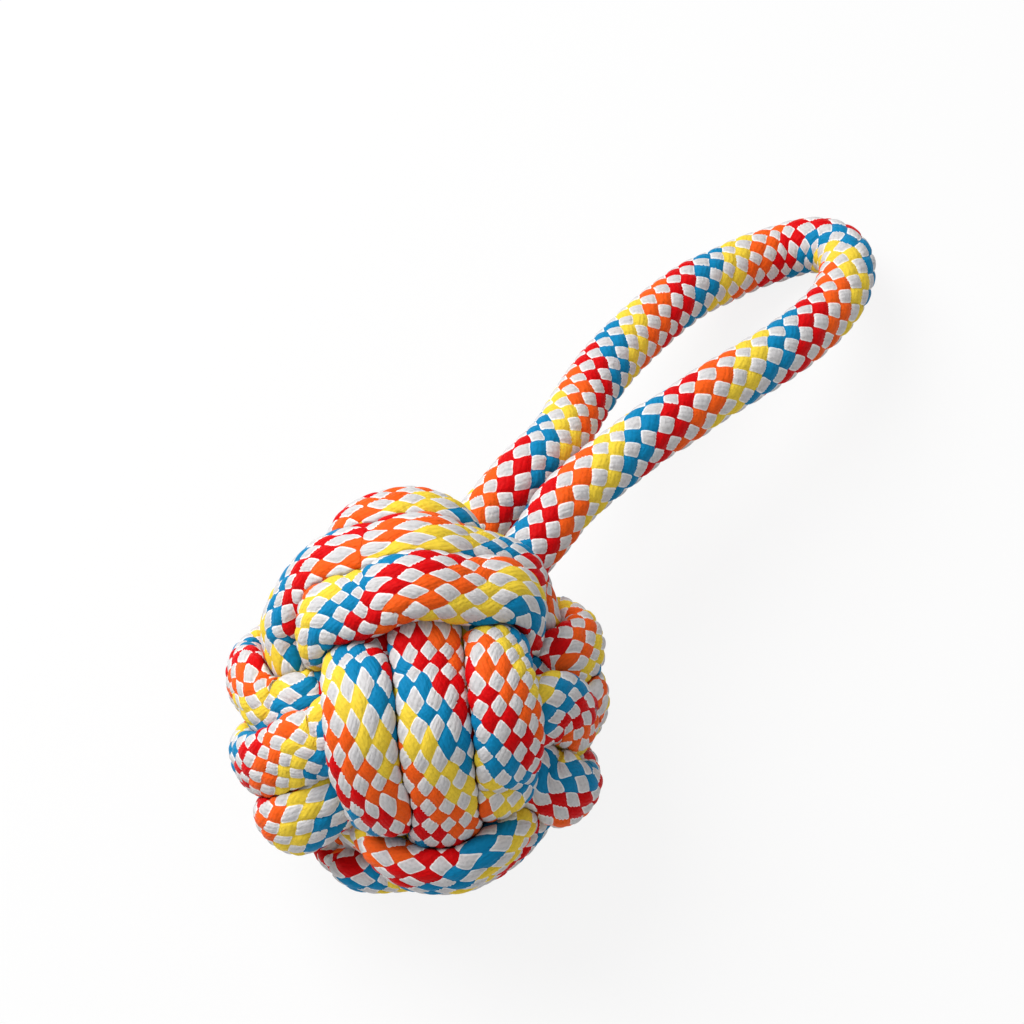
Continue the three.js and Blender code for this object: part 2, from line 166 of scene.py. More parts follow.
route = HANDLE_ROUTE * [LOOP_LENGTH, ROPE_D, ROPE_D] + [BALL_REACH, 0, 0]
loose_handle = smooth_curve(route)  # before it sinks to the ground
drop = ROPE_D / 2 - FLAT_DEPTH - BALL[2] - route[:, 2].min()
neck_x = BALL_REACH + NECK_LENGTH
route[:, 2] += drop * np.maximum(0, route[:, 0] - neck_x) / (route[:, 0].max() - neck_x)
far_side = np.arange(len(route)) >= len(route) // 2
from_ball = np.clip((route[:, 0] - BALL_REACH) / DRAW_LENGTH, 0, 1)
route[:, 1] -= FAR_DRAW * far_side * np.sin(np.pi * from_ball) ** 2
handle_line = respaced(smooth_curve(route), RING_STEP)
print("handle", round(arc_of(handle_line)[-1], 1), "mm long,", len(handle_line), "rings")

# %% [markdown]
# ## Tying the ball
# The ball is a monkey's fist: each wrap passes over one neighbour and under the other. Written as
# plain rings, the turns would run through each other. Blender's physics could part them, but it has
# to be played along a timeline. So the knot is drawn tight in plain sums, step by step, as hands do
# it: every turn is pulled short, and turns that press on each other give way.

# %% The three wraps, loosely laid
TURNS = 3
STEPS = 48  # points in a turn
OUTER_LAYER = 2.2  # where a turn passes over, in thicknesses from the core
INNER_LAYER = 1.0  # where it passes under
LANE_WIDTH = 12.0  # between neighbouring turns
END_TRIM = 24  # degrees that a wrap stops short at each end
CLIMB_ARC = 110  # degrees in which a turn moves over to the next lane
FIST_RIGHT = np.array([0.74, -0.67, 0.01])  # the fist's axes in the part's frame
FIST_BACK = np.array([0.43, 0.47, -0.77])


def loose_wrap(order, end_side):
    """A turn runs round at reach = mean + half difference * cos(2 angle), so it lies outside on
    two sides and inside on the other two. On its hidden side it moves over one lane, by
    c (3/2 - 2 c^2) with c from -1/2 to 1/2."""
    outer = CORE_D / 2 + OUTER_LAYER * WRAP_THICK
    inner = CORE_D / 2 + INNER_LAYER * WRAP_THICK
    middle = end_side * math.pi / 2
    trim = math.radians(END_TRIM)
    span = 2 * math.pi * TURNS - 2 * trim
    count = round(STEPS * span / (2 * math.pi))
    angle = middle + trim + span * np.arange(count + 1) / count
    turn = (angle - middle) / (2 * math.pi)
    nearest = np.floor(turn + 0.5)
    climb = np.clip((turn - nearest) * 360 / CLIMB_ARC, -0.5, 0.5)
    offset = LANE_WIDTH * (nearest + climb * (1.5 - 2 * climb**2) - TURNS / 2)
    reach = (outer + inner) / 2 + (outer - inner) / 2 * np.cos(2 * angle)
    flat = np.sqrt(np.maximum(reach**2 - offset**2, WRAP_THICK**2))
    points = np.zeros((count + 1, 3))
    points[:, order[0]] = flat * np.cos(angle)
    points[:, order[1]] = flat * np.sin(angle)
    points[:, order[2]] = offset
    return points


loose = [loose_wrap([0, 1, 2], 1), loose_wrap([1, 2, 0], -1), loose_wrap([2, 0, 1], -1)]
fist_right = unit(FIST_RIGHT)
fist_back = unit(FIST_BACK - FIST_BACK @ fist_right * fist_right)
fist_axes = np.stack([fist_right, fist_back, np.cross(fist_right, fist_back)])
print("loose wraps of", [len(w) for w in loose], "points")

# %% Pegs, where the handle's two roots hold the turns apart
ROOT_D = 10.8  # of the rope where the ball squeezes it
PEG_DEPTH = 8.7  # from the ball's surface inwards
PEGS = 7  # on each root
peg_x = np.linspace(BALL_REACH - PEG_DEPTH, neck_x, PEGS)
half = len(loose_handle) // 2
legs = [loose_handle[:half], loose_handle[:half - 1:-1]]
pegs = np.concatenate([
    np.stack([np.interp(peg_x, leg[:, 0], leg[:, k]) for k in range(3)], axis=1) for leg in legs
]) @ fist_axes.T
print(len(pegs), "pegs")

# %% [markdown]
# The pull leaves the turns a little narrower than soft rope is, which spreads under pressure. So
# once the pull is off, the turns that pass over are moved apart, each group along the axis on which
# it lies side by side, and the front's lower half is drawn down. Each turn could be moved by hand,
# but a few smooth steps keep the knot's order.

# %% Spread of the turns
FRONT_LEAN = 1.4  # of the middle front turn, to the right
FRONT_SPREAD = 0.17  # of their distance from the middle turn
FRONT_SHIFT = 1.0  # of all front turns, to the right
SPREAD_FROM, SPREAD_TO = 8.0, 22.0  # before the middle
SIDE_LIFT = 3.0
SIDE_TILT = 0.3  # more of it, for each millimetre to the back
SIDE_DRAW = 4.0  # inwards, on the upper side turns
RIGHT_DRAW = 3.0  # inwards, on the right
SIDE_FROM, SIDE_TO = 10.0, 24.0  # from the middle
DRAW_FROM, DRAW_TO = -12.0, 2.0  # above the middle
TOP_NARROW = 0.2  # of the second top turn's width
NARROW_FROM, NARROW_TO = 2.0, 12.0  # above the middle
TOP_DRAW = 0.05  # of the top turns' reach
TOP_FROM, TOP_TO = 10.0, 30.0  # above or below the middle
ROLL = math.radians(12)  # of the front's lower half, and twice that on its flanks
ROLL_FROM, ROLL_TO = math.radians(5), math.radians(130)  # below straight ahead
FLANK_FROM, FLANK_TO = 4.0, 16.0  # from the middle front turn
FRONT_REACH = 33.0  # least reach of the front turns
FRONT_DIVE = 10.5  # less of it, downwards
DIVE_FROM, DIVE_TO = math.radians(25), math.radians(60)  # below straight ahead
FLANK_REACH = 17.3  # sideways, beyond which the least reach stays the same


def smooth_step(x, low, high):
    """3 s^2 - 2 s^3, with s from 0 at low to 1 at high."""
    s = np.clip((x - low) / (high - low), 0, 1)
    return s * s * (3 - 2 * s)


def spread_turns(side, front, top):
    """Each change grows smoothly from nothing to its full size across a range of the turn."""
    over = smooth_step(-front[:, 1], SPREAD_FROM, SPREAD_TO)
    front[:, 0] += over * (FRONT_SPREAD * (front[:, 0] - FRONT_LEAN) + FRONT_SHIFT)
    over = smooth_step(np.abs(side[:, 0]), SIDE_FROM, SIDE_TO)
    upper = smooth_step(side[:, 2], DRAW_FROM, DRAW_TO)
    side[:, 0] -= over * (SIDE_DRAW * upper * np.sign(side[:, 0]) + RIGHT_DRAW * (side[:, 0] > 0))
    side[:, 2] += over * (SIDE_LIFT + SIDE_TILT * side[:, 1])
    second = np.abs(np.arange(len(top)) / len(top) - 0.5) < 0.5 / TURNS
    top[second, 0] *= 1 - TOP_NARROW * smooth_step(top[second, 2], NARROW_FROM, NARROW_TO)
    for wrap in [front, top]:
        below = np.arctan2(-wrap[:, 2], -wrap[:, 1])
        share = np.clip((below - ROLL_FROM) / (ROLL_TO - ROLL_FROM), 0, 1)
        flank = smooth_step(np.abs(wrap[:, 0] - FRONT_LEAN), FLANK_FROM, FLANK_TO)
        roll = ROLL * (1 + flank) * np.sin(np.pi * share) ** 2
        y, z = wrap[:, 1].copy(), wrap[:, 2].copy()
        wrap[:, 1] = y * np.cos(roll) - z * np.sin(roll)
        wrap[:, 2] = y * np.sin(roll) + z * np.cos(roll)
    below = np.arctan2(-front[:, 2], -front[:, 1])
    least = FRONT_REACH - FRONT_DIVE * smooth_step(below, DIVE_FROM, DIVE_TO)
    least = np.sqrt(least**2 - np.minimum(np.abs(front[:, 0]), FLANK_REACH) ** 2)
    reach = np.linalg.norm(front[:, 1:], axis=1)
    lower = (below > 0) & (below < np.pi / 2)
    front[:, 1:] *= np.where(lower, np.maximum(least / reach, 1), 1)[:, None]
    top *= 1 - TOP_DRAW * smooth_step(np.abs(top[:, 2:]), TOP_FROM, TOP_TO)


print("front turns spread by", FRONT_SPREAD, "and top turns drawn in by", TOP_DRAW)

# %% Sections of the turns
WRAP_WIDTH = 10.4  # of a turn of the ball, from side to side


def dot(a, b):
    """Scalar product along the last axis, kept as a column."""
    return (a * b).sum(-1, keepdims=True)


def frames_of(points):
    """Along goes from the point before to the point after, outward is away from the ball's centre
    and square to along, and sideways = along x outward is to the right of the way."""
    after = np.concatenate([points[1:], points[-1:]])
    before = np.concatenate([points[:1], points[:-1]])
    along = unit(after - before)
    outward = unit(points)
    outward = unit(outward - dot(outward, along) * along)
    return along, outward, np.cross(along, outward)


def half_breadth(sideways, outward, direction):
    """Half the breadth of the oval section: root of the squared shares of its two half axes."""
    wide = WRAP_WIDTH / 2 * dot(sideways, direction)
    thick = WRAP_THICK / 2 * dot(outward, direction)
    return np.hypot(wide, thick)


def gathered(count, index, vectors):
    """Sum of the vectors that belong to each point."""
    return np.stack([np.bincount(index, vectors[:, k], count) for k in range(3)], axis=1)


print("a turn's section is", WRAP_WIDTH, "by", WRAP_THICK, "mm")

# %% What moves the turns
PRESS_GAP = 0.8  # kept between two turns
PRESS_SHARE = 0.5  # of an overlap that one step undoes
PEG_SHARE = 0.6  # of an overlap with a peg
LEAN_FROM = 16.0  # from the middle, where a turn counts as passing over
LEAN_SHARE = 0.1  # of what a lean lacks
LEANS = [  # of each wrap: the axis it leans along, the axis it passes over, its lean over and under
    (2, 0, -10.0, -6.0),
    (0, 1, FRONT_LEAN, FRONT_LEAN),
    (1, 2, -11.0, 0.0),
]


def press_apart(points, a, b, sideways, outward):
    """Overlap = both half breadths + gap - distance. Each of a pair gives way by a share of it,
    divided by the root of how many others press it."""
    total = len(points)
    away = points[a] - points[b]
    distance = np.linalg.norm(away, axis=1, keepdims=True)
    away /= distance
    breadth = half_breadth(sideways[a], outward[a], away)
    breadth = breadth + half_breadth(sideways[b], outward[b], away)
    short = breadth + PRESS_GAP - distance
    tight = short[:, 0] > 0
    push = away[tight] * short[tight]
    one, two = a[tight], b[tight]
    moved = gathered(total, one, push) - gathered(total, two, push)
    pressed = np.bincount(one, minlength=total) + np.bincount(two, minlength=total)
    points += moved * PRESS_SHARE / np.maximum(np.sqrt(pressed), 1)[:, None]


def keep_off_pegs(points, sideways, outward):
    """The same against the round pegs, which don't move: a share of the mean overlap."""
    away = points[:, None] - pegs[None]
    distance = np.linalg.norm(away, axis=2, keepdims=True)
    away /= distance
    breadth = half_breadth(sideways[:, None], outward[:, None], away)
    short = np.maximum(breadth + ROOT_D / 2 + PRESS_GAP - distance, 0)
    touched = np.maximum((short > 0).sum(axis=1), 1)
    points += (away * short).sum(axis=1) * PEG_SHARE / touched


def lean_wraps(points, which):
    """The mean place of each wrap's outer and inner points moves towards its lean by a share."""
    for wrap, (axis, over, lean_over, lean_under) in enumerate(LEANS):
        beyond = np.abs(points[:, over]) > LEAN_FROM
        for spot, lean in [(beyond, lean_over), (~beyond, lean_under)]:
            spot = spot & (which == wrap)
            points[spot, axis] += LEAN_SHARE * (lean - points[spot, axis].mean())


print("leans of the wraps where they pass over", [lean for _, _, lean, _ in LEANS])

# %% Draw the knot tight
SEAT_GAP = 0.3  # between the core and the turns on it
TIGHTEN_STEPS = 1500
SETTLE_STEPS = 900  # at the end, in which the pull fades
FREE_STEPS = 300  # last of all, without a pull
PULL = 0.25  # of the way to the middle of a point's neighbours
SETTLE_PULL = 0.25  # of that, when settling starts
TUCK_POINTS = 12  # at each end of a wrap
TUCK_DEPTH = 0.1  # that they sink in a step
KEEP_OFF = 9  # points along one wrap that don't press each other
PAIRS_EVERY = 5  # steps between two searches for turns that may press each other
PAIR_MARGIN = 3.0


def draw_tight(wraps):
    """Every step moves a point towards the middle of its neighbours, pushes overlapping turns
    apart by a share of the overlap, draws each wrap to its lean, and keeps all turns off the pegs
    and the core."""
    sizes = [len(w) for w in wraps]
    breaks = np.cumsum(sizes)[:-1]
    points = np.concatenate(wraps)
    which = np.repeat(np.arange(len(wraps)), sizes)
    place = np.concatenate([np.arange(n) for n in sizes])
    last = np.repeat(sizes, sizes) - 1
    inner = np.flatnonzero((place > 0) & (place < last))
    tucked = np.minimum(place, last - place) < TUCK_POINTS
    first, second = np.triu_indices(len(points), 1)
    apart = (which[first] != which[second]) | (second - first > KEEP_OFF)
    first, second = first[apart], second[apart]
    floor = CORE_D / 2 + WRAP_THICK / 2 + SEAT_GAP
    for step in range(TIGHTEN_STEPS):
        parts = [frames_of(p) for p in np.split(points, breaks)]
        _, outward, sideways = (np.concatenate(f) for f in zip(*parts))
        left = TIGHTEN_STEPS - FREE_STEPS - step
        pulling = step < TIGHTEN_STEPS - SETTLE_STEPS
        fade = max(0, left / (SETTLE_STEPS - FREE_STEPS))
        pull = PULL * (1 if pulling else fade * SETTLE_PULL)
        if left == 0:
            spread_turns(*np.split(points, breaks))
        before = points.copy()
        points[inner] += pull * ((before[inner - 1] + before[inner + 1]) / 2 - before[inner])
        if step % PAIRS_EVERY == 0:
            gap = np.linalg.norm(points[first] - points[second], axis=1)
            near = gap < WRAP_WIDTH + PRESS_GAP + PAIR_MARGIN
            pair = first[near], second[near]
        press_apart(points, *pair, sideways, outward)
        keep_off_pegs(points, sideways, outward)
        if pulling:
            points[tucked] -= TUCK_DEPTH * unit(points[tucked])
        if left > 0:
            lean_wraps(points, which)
        low = np.linalg.norm(points, axis=1) < floor
        points[low] = floor * unit(points[low])
    return np.split(points, breaks)


tight = draw_tight(loose)
print("turns reach", [round(float(np.linalg.norm(w, axis=1).max()), 1) for w in tight], "mm out")

tight = [wrap @ fist_axes for wrap in tight]
foot = min(wrap[:, 2].min() for wrap in tight)
print("lowest middle line", round(foot + BALL[2], 2), "mm above the ground")

# %% [markdown]
# ## Braided tube
# Sixteen strands make the braid: eight coloured ones wind one way and eight white ones the other,
# and each passes over one and under one. Sixteen strands could be wound one by one, but most of
# their skin would be hidden, so one tube gets the relief of all. On it the braid is a chequer of
# slanting cells. With u as the share of the way round and v as the turns of a strand along the
# rope, p = 8 (u + v) counts coloured strands and q = 8 (u - v) counts white ones. Where floor(p) +
# floor(q) is even, the coloured strand is on top. Every cell bulges, so the rope's outline is
# slightly scalloped.

# %% Relief of the braid
STRANDS = 8  # each way
RELIEF = 0.65  # height of a cell
CELL_ACROSS = 2.4  # powers that shape a cell's section across its strand and along it
CELL_ALONG = 3


def cell_height(u, v):
    """A cell rises as root(1 - |2 across|^2.4) * root(1 - |2 along|^3): round across the strand,
    and flatter along it, down to nothing at its edges."""
    p = STRANDS * (u + v)
    q = STRANDS * (u - v)
    x = np.abs(p - np.floor(p) - 0.5) * 2
    y = np.abs(q - np.floor(q) - 0.5) * 2
    coloured = (np.floor(p) + np.floor(q)) % 2 == 0
    across, along = np.where(coloured, x, y), np.where(coloured, y, x)
    rise = np.maximum(1 - across**CELL_ACROSS, 0) * np.maximum(1 - along**CELL_ALONG, 0)
    return np.sqrt(rise)


print("height in the middle of a cell", cell_height(np.array(0.5 / STRANDS), np.array(0.0)))

# %% A run of rope
SIDES = 96  # of a ring
OVAL_STEPS = 720  # in which the length round an oval is measured
WOBBLE = 0.003  # of a turn
WAVES = [(3, 2.3, 0.0), (-2, 3.7, 1.9), (5, -6.1, 4.0)]  # round, along, start


class Run:
    """A stretch of rope: its middle line, the three directions at each ring, its half axes, the
    braid's turns at each ring, and the braid's share of the way round at each side. Strands may
    crowd on the outside: share = u + crowd sin(2 pi u) / (2 pi)."""

    def __init__(self, line, outward, wide, thick, turns, crowd=0.0):
        self.line = line
        self.arc = arc_of(line)
        self.along = unit(np.gradient(line, axis=0))
        self.outward = unit(outward - dot(outward, self.along) * self.along)
        self.sideways = np.cross(self.along, self.outward)
        self.wide = np.broadcast_to(wide, self.arc.shape)
        self.thick = np.broadcast_to(thick, self.arc.shape)
        self.turns = turns
        u = np.arange(SIDES + 1) / SIDES
        self.around = u + crowd * np.sin(2 * np.pi * u) / (2 * np.pi)

    def place(self):
        """The braid's u and v at each ring and side. Both wobble by a sum of waves,
        WOBBLE sin(2 pi (round u + along v) + start), so that no two cells are quite alike."""
        u, v = np.meshgrid(self.around, self.turns)
        waves = [2 * np.pi * (a * u + b * v) + start for a, b, start in WAVES]
        return u + WOBBLE * sum(map(np.sin, waves)), v + WOBBLE * sum(map(np.cos, waves))

    def spokes(self):
        """From the middle line to the oval skin, at even lengths round the oval."""
        fine = np.linspace(0, 2 * np.pi, OVAL_STEPS + 1)
        ratio = float(np.mean(self.thick) / np.mean(self.wide))
        length = arc_of(np.stack([np.sin(fine), ratio * np.cos(fine)], axis=1))
        angle = np.interp(np.arange(SIDES) / SIDES, length / length[-1], fine)[None, :, None]
        out = (self.thick[:, None] * self.outward)[:, None]
        side = (self.wide[:, None] * self.sideways)[:, None]
        return out * np.cos(angle) + side * np.sin(angle)


print("runs of rope have rings of", SIDES, "sides")

# %% [markdown]
# The photo shows which colour lies where along each run. One even twist could be given to all
# runs, but then the colours would fall anywhere. So a few such places fix the turns of the braid:
# from one place to the next, the strands pass as many colours as come nearest to the usual lay,
# which is the length of rope in which a strand goes round once.

# %% Runs of the toy
WRAP_HALF_WIDE = 7.0  # half axes of a turn before others press it
WRAP_HALF_THICK = 4.5
WRAP_RINGS = 1030
CROWD = 0.3  # of the strands towards the outside of a turn
KNOT_LAY = 33.0
ROPE_LAY = 35.5
LOOP_UP = np.array([0.0, 0.373, 0.928])  # square to the plane of the loop
SWELL_FROM, SWELL_TO = -6, 8  # from the ball's surface, where the root grows to the full rope
FULLNESS = 0.15  # of the handle, beyond its half width
COLOURS = "ROYB"  # red, orange, yellow, blue: their order along the rope
SEEN_ON_SIDE = [  # millimetres along the run, and the colour seen there
    (54, "O"), (62, "Y"), (116, "B"), (243, "O"), (251, "Y"), (258, "B"), (296, "B"), (304, "R"),
    (403, "R"), (411, "O"), (419, "Y"), (427, "B"), (476, "R"), (484, "O"), (492, "Y"),
]
SEEN_ON_FRONT = [
    (27, "Y"), (34, "B"), (41, "R"), (48, "O"), (55, "Y"), (194, "R"), (202, "O"), (211, "Y"),
    (220, "B"), (228, "R"), (237, "O"), (387, "R"), (397, "O"), (407, "Y"), (416, "B"), (425, "R"),
]
SEEN_ON_TOP = [
    (26, "B"), (34, "R"), (44, "O"), (55, "Y"), (66, "B"), (144, "R"), (152, "O"), (218, "R"),
    (231, "O"), (243, "Y"), (253, "B"), (437, "O"), (446, "Y"), (455, "B"),
]
SEEN_ON_HANDLE = [(10, "B"), (46, "B"), (86, "B"), (116, "Y"), (151, "Y"), (185, "Y"), (231, "R")]
EASE = 12  # rings on each side over which the lay changes


def braid_turns(arc, seen, lay):
    """With k colours, a colour's middle lies on the outer line at turns n + (2 colour + 1) / 2k.
    Straight lines join the places, go on to the ends at the usual lay, and are eased by a running
    mean."""
    kinds = len(COLOURS)
    place = np.array([at for at, _ in seen], float)
    colour = np.array([COLOURS.index(letter) for _, letter in seen])
    step = np.diff(colour)
    passed = step + kinds * np.round((kinds * np.diff(place) / lay - step) / kinds)
    turns = (2 * colour[0] + 1) / (2 * kinds) + np.concatenate([[0], np.cumsum(passed)]) / kinds
    ends = [turns[0] - place[0] / lay, turns[-1] + (arc[-1] - place[-1]) / lay]
    turns = np.interp(arc, [0, *place, arc[-1]], [ends[0], *turns, ends[1]])
    padded = np.pad(turns, EASE, mode="reflect", reflect_type="odd")
    return np.convolve(padded, np.full(2 * EASE + 1, 1 / (2 * EASE + 1)), mode="valid")


def wrap_run(points, seen):
    """One wrap as a run of rope, with points close enough for its braid."""
    curve = smooth_curve(points)
    line = respaced(curve, arc_of(curve)[-1] / WRAP_RINGS)
    turns = braid_turns(arc_of(line), seen, KNOT_LAY)
    return Run(line, line, WRAP_HALF_WIDE, WRAP_HALF_THICK, turns, CROWD)


handle_arc = arc_of(handle_line)
swell = smooth_step(handle_line[:, 0] - BALL_REACH, SWELL_FROM, SWELL_TO)
handle_half = (ROOT_D + (ROPE_D - ROOT_D) * swell) / 2 + FULLNESS
handle = Run(
    handle_line, LOOP_UP + 0 * handle_line, handle_half, handle_half,
    braid_turns(handle_arc, SEEN_ON_HANDLE, ROPE_LAY))
wraps = [
    wrap_run(tight[0], SEEN_ON_SIDE),
    wrap_run(tight[1][::-1], SEEN_ON_FRONT),
    wrap_run(tight[2], SEEN_ON_TOP),
]
print("wraps", [round(w.arc[-1]) for w in wraps], "mm long")

# %% [markdown]
# ## Pressed rope
# Where two turns of a tight knot meet, neither keeps its round shape: they share a flat wall. A
# Boolean cut would leave hard edges and break the braid's grid. Instead, each spoke of a ring is
# cut back to the wall, which lies where a point is as far into one oval as into the other, and is
# found by halving.

# %% Walls between turns
SAMPLE_EVERY = 3  # rings
NEAR_SAMPLES = 40  # rings that may press a ring
OWN_REACH = 15.0  # of the same rope, which doesn't press a ring
HALVINGS = 9
DEEPEST = 0.5  # share of a spoke that a dip may take


def depth_in(points, run, picks):
    """How deep points lie in the ovals of the picked rings of a run: 0 at the middle line and 1
    on the skin. The least over the picked rings counts."""
    to = points[:, :, None] - run["line"][picks][:, None]
    wide = (to * run["side"][picks][:, None]).sum(-1)
    thick = (to * run["out"][picks][:, None]).sum(-1)
    along = (to * run["along"][picks][:, None]).sum(-1)
    return np.sqrt((wide**2 + thick**2 + along**2).min(axis=2))


def pressed_skin(runs, which):
    """Spokes of one run, cut back where they would enter another run or another turn."""
    run = runs[which]
    spokes = run.spokes()
    own = np.concatenate([np.full(len(r.line[::SAMPLE_EVERY]), k) for k, r in enumerate(runs)])
    arc = np.concatenate([r.arc[::SAMPLE_EVERY] for r in runs])
    sample = {
        "line": np.concatenate([r.line[::SAMPLE_EVERY] for r in runs]),
        "side": np.concatenate([(r.sideways / r.wide[:, None])[::SAMPLE_EVERY] for r in runs]),
        "out": np.concatenate([(r.outward / r.thick[:, None])[::SAMPLE_EVERY] for r in runs]),
        "along": np.concatenate([(r.along / r.wide[:, None])[::SAMPLE_EVERY] for r in runs]),
    }
    away = np.linalg.norm(run.line[:, None] - sample["line"][None], axis=2)
    mine = (own[None] == which) & (np.abs(run.arc[:, None] - arc[None]) < OWN_REACH)
    picks = np.argpartition(np.where(mine, np.inf, away), NEAR_SAMPLES, axis=1)[:, :NEAR_SAMPLES]
    low = np.zeros(spokes.shape[:2])
    high = np.ones(spokes.shape[:2])
    free = depth_in(run.line[:, None] + spokes, sample, picks) >= 1
    for _ in range(HALVINGS):
        middle = (low + high) / 2
        ok = depth_in(run.line[:, None] + spokes * middle[..., None], sample, picks) >= middle
        low, high = np.where(ok, middle, low), np.where(ok, high, middle)
    return spokes * np.where(free, 1, low)[..., None]


def braided_grid(run, skin):
    """Points of the rope's skin: the spokes, shortened by what each cell lacks of full height, in
    the toy's frame and flat on the ground."""
    u, v = run.place()
    dip = RELIEF * (1 - cell_height(u[:, :-1], v[:, :-1]))
    long = np.linalg.norm(skin, axis=2)
    kept = 1 - np.minimum(dip / long, DEEPEST)
    points = run.line[:, None] + skin * kept[..., None] + BALL
    points[..., 2] = np.maximum(points[..., 2], 0)
    return points


runs = wraps + [handle]
grids = [braided_grid(run, pressed_skin(runs, k)) for k, run in enumerate(runs)]
print("lowest points", [round(float(g[..., 2].min()), 2) for g in grids])

# %% [markdown]
# ## From grid to mesh
# A grid of rings and sides becomes quads, with a fan of triangles on each end. A curve with a bevel
# would be a tube too, but one without relief. The braid's own coordinates go into a UV map, which
# each corner of a face has for itself, so the pattern has no seam. A second map lays the rope out
# in strips side by side, for textures that are baked later.

# %% Places on the maps
STRIP_EDGE = 0.04  # of a strip's width, left free on each side
STRIP_FOOT = 0.03  # of the map, left free below the strips
STRIP_TALL = 0.94  # of the map
CAP_SPOT = 0.006  # radius of the disc of an end, below the strips
CAP_RIGHT = [0.01, 0.03]  # middles of the two discs
CAP_UP = 0.01


def grid_normals(grid):
    """Cross product of the steps round the ring and along the rope, at each point of a grid."""
    round_step = np.roll(grid, -1, axis=1) - np.roll(grid, 1, axis=1)
    return unit(np.cross(round_step, np.gradient(grid, axis=0)))


def strip_places(rows, cols, rings, strips):
    """The rings in equal strips side by side: across a strip goes the way round the rope, and up
    it goes the way along."""
    strip = rows[:, :1] * strips // (rings - 1)
    start = strip * (rings - 1) / strips
    across = STRIP_EDGE + (1 - 2 * STRIP_EDGE) * cols / SIDES
    up = STRIP_FOOT + STRIP_TALL * (rows - start) * strips / (rings - 1 + strips)
    return np.stack([(strip + across) / strips, up], axis=2)


def end_caps(rings, u, v):
    """Fans from two centres to the first and the last ring, and their places on both maps."""
    k = np.arange(SIDES)
    after = (k + 1) % SIDES
    centre = k * 0 + rings * SIDES
    first = np.stack([centre, after, k], axis=1)
    last = np.stack([centre + 1, k, after], axis=1)
    last[:, 1:] += (rings - 1) * SIDES
    around = np.stack([u[0, :-1], u[0, 1:], u[0, :-1]], axis=1)
    around = np.concatenate([around, around[:, [0, 2, 1]]])
    turns = np.repeat([v[0, 0], v[-1, 0]], SIDES)
    braid = np.stack([around, np.repeat(turns[:, None], 3, axis=1)], axis=2)
    reach = np.array([0, 1, 1])[None] * CAP_SPOT
    right = np.repeat(CAP_RIGHT, SIDES)[:, None] + reach * np.cos(2 * np.pi * around)
    up = CAP_UP + reach * np.sin(2 * np.pi * around)
    return np.concatenate([first, last]), braid, np.stack([right, up], axis=2)


print("strips take", STRIP_TALL, "of the map's height")

# %% Mesh maker


def rope_piece(name, grid, normals, u, v, strips):
    """Quads between neighbouring rings and sides, with the braid's u and v at their corners.
    The normals come from the whole run, so that two pieces of one run meet without an edge."""
    rings = len(grid)
    ring, side = np.meshgrid(np.arange(rings - 1), np.arange(SIDES), indexing="ij")
    rows = np.stack([ring, ring, ring + 1, ring + 1], axis=2).reshape(-1, 4)
    cols = np.stack([side, side + 1, side + 1, side], axis=2).reshape(-1, 4)
    quads = rows * SIDES + cols % SIDES
    braid = np.stack([u[rows, cols], v[rows, cols]], axis=2)
    bake = strip_places(rows, cols, rings, strips)
    caps, cap_braid, cap_bake = end_caps(rings, u, v)
    points = np.concatenate([grid.reshape(-1, 3), grid[0].mean(0)[None], grid[-1].mean(0)[None]])
    corners = np.concatenate([quads.ravel(), caps.ravel()])
    starts = np.concatenate([np.arange(len(quads)) * 4, 4 * len(quads) + np.arange(len(caps)) * 3])
    mesh = bpy.data.meshes.new(name)
    mesh.vertices.add(len(points))
    mesh.vertices.foreach_set("co", (points / 1000).astype(np.float32).ravel())
    mesh.loops.add(len(corners))
    mesh.loops.foreach_set("vertex_index", corners.astype(np.int32))
    mesh.polygons.add(len(starts))
    mesh.polygons.foreach_set("loop_start", starts.astype(np.int32))
    mesh.polygons.foreach_set("use_smooth", np.arange(len(starts)) < len(quads))
    mesh.update(calc_edges=True)
    ends = unit(np.stack([grid[0] - grid[1], grid[-1] - grid[-2]]).mean(axis=1))
    mesh.normals_split_custom_set_from_vertices(np.concatenate([normals.reshape(-1, 3), ends]))
    for title, part, cap in [("braid", braid, cap_braid), ("OFBake", bake, cap_bake)]:
        places = np.concatenate([part.reshape(-1, 2), cap.reshape(-1, 2)])
        layer = mesh.uv_layers.new(name=title)
        layer.uv.foreach_set("vector", places.astype(np.float32).ravel())
    piece = bpy.data.objects.new(name, mesh)
    bpy.context.scene.collection.objects.link(piece)
    print(name, len(quads) * 2 + len(caps), "triangles")
    return piece


# %% Pieces of the handle and the ball
SPLIT_X = 55.5  # from the ball's centre, where the necks end
STRIPS = 4  # of a long run on the second map
LONG_RUN = 200  # rings
leg_rings = np.flatnonzero(handle.line[:, 0] > SPLIT_X)
near_split, far_split = leg_rings[0], leg_rings[-1]
cuts = {
    "near_neck_rope": (0, near_split),
    "handle_rope": (near_split, far_split),
    "far_neck_rope": (far_split, len(handle.line) - 1),
}
handle_grid = grids[-1]
handle_normals = grid_normals(handle_grid)
handle_pieces = {}
for name, (a, b) in cuts.items():
    rows = slice(a, b + 1)
    handle_pieces[name] = rope_piece(
        name, handle_grid[rows], handle_normals[rows], *(part[rows] for part in handle.place()),
        STRIPS if b - a > LONG_RUN else 1)
wrap_pieces = {
    name: rope_piece(name + "_rope", grid, grid_normals(grid), *run.place(), STRIPS)
    for name, grid, run in zip(["side_wrap", "front_wrap", "top_wrap"], grids, wraps)
}

# %% [markdown]
# ## The core
# Inside the ball the rope's short end is tied in an overhand knot, which keeps the fist round. It
# hardly shows, so a plain ball would do, but the gaps between the turns would then show no rope. A
# trefoil curve is that knot with its ends joined.

